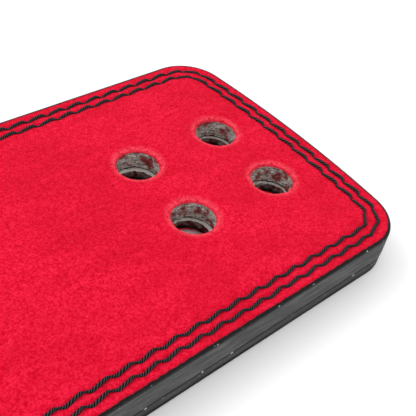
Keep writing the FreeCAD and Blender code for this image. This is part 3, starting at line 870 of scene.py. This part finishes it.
class BELT_OT_leather(bpy.types.Operator):
    """Makes the two plies of leather that show their fibres in the holes"""

    bl_idname = "lever_belt.leather"
    bl_label = "Leather plies"

    def execute(self, context):
        finish = material("core", core_material)
        shift = context.scene.lever_belt_leather.ply_shift
        upper = leather_ply(GLUE_LINE, FACE_BOTTOM, 0.0, -UPPER_HOLE_WIDER, UPPER_HOLE_FLARE)
        settle(upper, "upper_ply", finish, "belt", ["outer_leather"])
        lower = leather_ply(LINING_TOP, GLUE_LINE, shift, LOWER_HOLE_NARROWER, LOWER_HOLE_FLARE)
        settle(lower, "lower_ply", finish, "belt", ["inner_leather"])
        return {"FINISHED"}


def coat_sleeve(profile):
    """A thin sleeve of dressing round the belt."""
    sleeve = raise_rings(outline_plate(), profile)
    only(sleeve)
    wall = sleeve.modifiers.new("film", "SOLIDIFY")
    wall.thickness = COAT_FILM * 0.8
    wall.offset = -1.0
    bpy.ops.object.modifier_apply(modifier="film")
    return sleeve


class BELT_OT_edge(bpy.types.Operator):
    """Makes the black dressed edge, in an upper and a lower band with a seam between"""

    bl_idname = "lever_belt.edge"
    bl_label = "Dressed edge"

    def execute(self, context):
        finish = material("edge", edge_material)
        radius = context.scene.lever_belt_leather.lip_radius
        seam, inset = EDGE_SEAM, LOWER_BAND_INSET
        upper = [(seam, GLUE_LINE), (seam * 0.3, GLUE_LINE + seam * 0.5), (0.0, GLUE_LINE + seam * 1.4)]
        upper += [(0.0, GLUE_LINE + 3.0 * MM), (0.0, FACE_TOP - radius - 0.3 * MM)]
        upper += quarter_round(0.0, FACE_TOP, radius)[:4]
        piece = coat_sleeve(upper)
        settle(piece, "edge_upper", finish, "belt", ["edge_coat_upper"])
        lower = quarter_round(inset, 0.0, radius, -1)[:4][::-1]
        lower += [(inset, GLUE_LINE - seam * 1.6), (seam * 0.8, GLUE_LINE - seam * 0.5)]
        lower += [(seam * 1.4, GLUE_LINE)]
        piece = coat_sleeve(lower)
        settle(piece, "edge_lower", finish, "belt", ["edge_coat_lower"])
        return {"FINISHED"}


# ======================================================================
# stitching
# ======================================================================
STRANDS = 3
TWIST = 22
HAND_TURN = 1.8
HAND_SHIFT = 0.07
HAND_RISE = 0.04
THREAD_SETTLE = 0.12

# ---- one stitch's line: share of its length, sideways and up in millimetres, and girth ----
STITCH_LINE = (
    (-0.58, 0.52, -0.70, 0.62),
    (-0.52, 0.50, -0.16, 0.66),
    (-0.43, 0.18, -0.10, 0.70),
    (-0.34, -0.30, 0.02, 0.92),
    (-0.25, -0.46, 0.12, 1.06),
    (-0.08, -0.24, 0.22, 1.00),
    (0.12, 0.05, 0.24, 1.00),
    (0.30, 0.32, 0.18, 1.00),
    (0.42, 0.52, 0.02, 0.96),
    (0.485, 0.64, -0.60, 0.90),
)


def single_stitch(length):
    """One stitch along X: it leaves its needle hole, crosses over, climbs aslant and dives again."""
    width = bpy.context.scene.lever_belt_stitch.width
    bpy.ops.object.select_all(action="DESELECT")
    bpy.ops.mesh.primitive_cylinder_add(
        vertices=8, radius=width / 2, depth=length, end_fill_type="NGON", rotation=(0.0, math.pi / 2, 0.0))
    stitch = bpy.context.object
    only(stitch)
    bpy.ops.object.transform_apply(location=True, rotation=True, scale=True)
    rings = len(STITCH_LINE)
    with Editing(stitch) as edit:
        edit.pick("edges", lambda e: abs(e.verts[0].co.x - e.verts[1].co.x) > length / 2)
        bpy.ops.mesh.subdivide(number_cuts=rings - 2)
    for vert in stitch.data.vertices:
        ring = round((vert.co.x / length + 0.5) * (rings - 1))
        share, aside, up, girth = STITCH_LINE[ring]
        vert.co.x = share * length
        vert.co.y = vert.co.y * girth + aside * MM
        vert.co.z = vert.co.z * girth + up * MM
    return stitch


def sew_row(inset, height, lift):
    """Copies the stitch from needle hole to needle hole round the belt."""
    settings = bpy.context.scene.lever_belt_stitch
    points = row_points(inset, settings.length)
    spacing = (points[1] - points[0]).length
    model = single_stitch(spacing)
    dice = random.Random(settings.seed + round(inset * 10000) + lift)
    copies = []
    for start, end in zip(points, points[1:] + points[:1]):
        run = end - start
        angle = math.atan2(run.y, run.x) + math.radians(dice.uniform(-HAND_TURN, HAND_TURN))
        middle = (start + end) / 2
        middle += Vector((-run.y, run.x, 0.0)).normalized() * dice.uniform(-HAND_SHIFT, HAND_SHIFT) * MM
        middle.z = height + lift * (dice.uniform(-HAND_RISE, HAND_RISE) - THREAD_SETTLE) * MM
        copy = model.copy()
        copy.data = model.data.copy()
        bpy.context.scene.collection.objects.link(copy)
        spin = Matrix.Rotation(angle, 4, "Z")
        flip = Matrix.Diagonal((run.length / spacing, 1.0, lift, 1.0))
        copy.matrix_world = Matrix.Translation(middle) @ spin @ flip
        copies.append(copy)
    bpy.data.objects.remove(model)
    row = joined(copies)
    bpy.ops.object.transform_apply(location=True, rotation=True, scale=True)
    with Editing(row, select=True):
        bpy.ops.mesh.normals_make_consistent(inside=False)
    return row


class BELT_OT_stitching(bpy.types.Operator):
    """Sews both rows round the belt, on its face and its lining"""

    bl_idname = "lever_belt.stitching"
    bl_label = "Stitching"

    def execute(self, context):
        finish = material("thread", thread_material)
        sides = (("face", "facing", FACE_TOP, 1), ("lining", "lining", THREAD * 0.5, -1))
        for place, inset in (("outer", OUTER_ROW), ("inner", INNER_ROW)):
            for side, node, height, lift in sides:
                row = sew_row(inset, height, lift)
                replaced = [node + "_thread_" + place]
                settle(row, side + "_stitches_" + place, finish, "belt", replaced, 80.0)
        return {"FINISHED"}


# ======================================================================
# the buckle
# ======================================================================
def dressed_copy(node, width):
    """A copy of a CAD node with its sharp edges rubbed down."""
    source = frame["nodes"][node]
    copy = source.copy()
    copy.data = source.data.copy()
    copy.parent = None
    copy.matrix_world = Matrix.Identity(4)
    for key in list(copy.keys()):
        if key.startswith("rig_"):
            del copy[key]
    bpy.context.scene.collection.objects.link(copy)
    with Editing(copy, select=True):
        bpy.ops.mesh.remove_doubles(threshold=0.002 * MM)
        bpy.ops.mesh.dissolve_limited(angle_limit=math.radians(0.6))
    only(copy)
    rub = copy.modifiers.new("edges", "BEVEL")
    rub.width = width
    rub.segments = 2
    rub.limit_method = "ANGLE"
    rub.angle_limit = math.radians(38.0)
    rub.use_clamp_overlap = True
    bpy.ops.object.modifier_apply(modifier="edges")
    return copy


BUCKLE_PIECES = (
    # visible piece, CAD node, body, slot, finish, share of the edges' break
    ("buckle_base", "base_plate", "belt", "buckle_steel", "satin", 1.0),
    ("lever", "lever_handle", "lever", "buckle_steel", "satin", 1.0),
    ("hook", "hook_plate", "hook", "buckle_steel", "satin", 1.0),
    ("pegs", "hook_pegs", "hook", "fastener_steel", "plated", 0.6),
    ("rivets", "pivot_rivets", "belt", "fastener_steel", "plated", 0.6),
    ("hinge_pin", "link_pin", "hook", "fastener_steel", "plated", 0.8),
    ("screws", "base_screws", "belt", "fastener_steel", "plated", 0.5),
    ("washers", "screw_washers", "belt", "fastener_steel", "plated", 0.3),
    ("nuts", "barrel_nuts", "belt", "fastener_steel", "plated", 0.6),
    ("spacers", "pin_spacers", "hook", "spacer_nylon", "nylon", 0.6),
)


class BELT_OT_buckle(bpy.types.Operator):
    """Finishes the lever buckle's pieces"""

    bl_idname = "lever_belt.buckle"
    bl_label = "Lever buckle"

    def execute(self, context):
        settings = context.scene.lever_belt_buckle
        steel = tuple(settings.steel_colour)
        finishes = {
            "satin": material("satin", steel_material, "satin_steel", steel, 0.34, 0),
            "plated": material("plated", steel_material, "plated_steel", PLATED_STEEL, 0.24, 2),
            "nylon": material("nylon", nylon_material),
        }
        for name, node, body, slot, finish, share in BUCKLE_PIECES:
            piece = dressed_copy(node, settings.edge_break * share)
            settle(piece, name, finishes[finish], body, [node], 32.0)
            # even shading on the large flats
            only(piece)
            even = piece.modifiers.new("even", "WEIGHTED_NORMAL")
            even.keep_sharp = True
            bpy.ops.object.modifier_apply(modifier="even")
        return {"FINISHED"}


# ======================================================================
# stage
# ======================================================================
FLOOR_SIZE = 30.0
KEY_OFFSET = Vector((-0.55, 0.75, 0.95))
KEY_SIZE = (0.9, 0.6)
FILL_OFFSET = Vector((0.35, -1.0, 0.9))
FILL_SIZE = (1.2, 0.8)


def soft_light(name, place, target, size, power):
    """A rectangular soft light that faces its target."""
    light = bpy.data.lights.new(name, "AREA")
    light.shape = "RECTANGLE"
    light.size, light.size_y = size
    light.energy = power
    lamp = bpy.data.objects.new(name, light)
    bpy.context.scene.collection.objects.link(lamp)
    lamp.location = place
    lamp.rotation_mode = "QUATERNION"
    lamp.rotation_quaternion = (target - place).to_track_quat("-Z", "Y")


def make_camera():
    """A camera low over the tongue, turned a little about its own axis."""
    azimuth, elevation, roll = CAMERA_AZIMUTH, CAMERA_ELEVATION, CAMERA_ROLL
    level = math.cos(elevation)
    view = Vector((-math.sin(azimuth) * level, math.cos(azimuth) * level, -math.sin(elevation)))
    right = Vector((math.cos(azimuth), math.sin(azimuth), 0.0))
    up = right.cross(view)
    turned_right = right * math.cos(roll) + up * math.sin(roll)
    turned_up = up * math.cos(roll) - right * math.sin(roll)
    data = bpy.data.cameras.new("camera")
    data.lens = CAMERA_LENS
    data.clip_start = 0.01
    camera = bpy.data.objects.new("camera", data)
    bpy.context.scene.collection.objects.link(camera)
    turn = Matrix((turned_right, turned_up, -view)).transposed().to_4x4()
    camera.matrix_world = Matrix.Translation(Vector((HALF_LENGTH, 0.0, FACE_TOP)) + CAMERA_OFFSET) @ turn
    bpy.context.scene.camera = camera


class BELT_OT_studio(bpy.types.Operator):
    """Sets the pale floor, the soft lights and the camera"""

    bl_idname = "lever_belt.studio"
    bl_label = "Studio"

    def execute(self, context):
        scene = context.scene
        settings = scene.lever_belt_studio
        bpy.ops.object.select_all(action="DESELECT")
        bpy.ops.mesh.primitive_plane_add(size=FLOOR_SIZE, location=(0.0, 0.0, 0.0))
        floor = context.object
        floor.name = "floor"
        floor.data.materials.append(material("floor", floor_material))
        world = bpy.data.worlds.new("white_room")
        world.use_nodes = True
        background = world.node_tree.nodes["Background"]
        background.inputs["Color"].default_value = (1.0, 1.0, 1.0, 1.0)
        background.inputs["Strength"].default_value = settings.daylight
        scene.world = world
        tongue = Vector((HALF_LENGTH, 0.0, FACE_TOP))
        soft_light("key", tongue + KEY_OFFSET, tongue, KEY_SIZE, settings.key_power)
        soft_light("fill", tongue + FILL_OFFSET, tongue, FILL_SIZE, settings.fill_power)
        make_camera()
        scene.view_settings.view_transform = "Standard"
        return {"FINISHED"}


# ======================================================================
# panel and registration
# ======================================================================
OPERATORS = (BELT_OT_suede, BELT_OT_leather, BELT_OT_edge, BELT_OT_stitching, BELT_OT_buckle, BELT_OT_studio)
SETTINGS = {
    "lever_belt_leather": LeatherSettings,
    "lever_belt_stitch": StitchSettings,
    "lever_belt_buckle": BuckleSettings,
    "lever_belt_studio": StudioSettings,
}


class BELT_PT_panel(bpy.types.Panel):
    """Lists the belt's settings and its operators"""

    bl_idname = "BELT_PT_panel"
    bl_label = "Lever Belt"
    bl_space_type = "VIEW_3D"
    bl_region_type = "UI"
    bl_category = "Lever Belt"

    def draw(self, context):
        for attribute, group in SETTINGS.items():
            box = self.layout.box()
            for name in group.__annotations__:
                box.prop(getattr(context.scene, attribute), name)
        for operator in OPERATORS:
            self.layout.operator(operator.bl_idname)


def register():
    for cls in (*SETTINGS.values(), *OPERATORS, BELT_PT_panel):
        bpy.utils.register_class(cls)
    for attribute, group in SETTINGS.items():
        setattr(bpy.types.Scene, attribute, PointerProperty(type=group))


def unregister():
    for attribute in SETTINGS:
        delattr(bpy.types.Scene, attribute)
    for cls in (BELT_PT_panel, *reversed(OPERATORS), *reversed(list(SETTINGS.values()))):
        bpy.utils.unregister_class(cls)


def main():
    register()
    bpy.ops.lever_belt.studio()
    bpy.ops.lever_belt.suede()
    bpy.ops.lever_belt.leather()
    bpy.ops.lever_belt.edge()
    bpy.ops.lever_belt.stitching()
    bpy.ops.lever_belt.buckle()


if __name__ == "__main__":
    main()
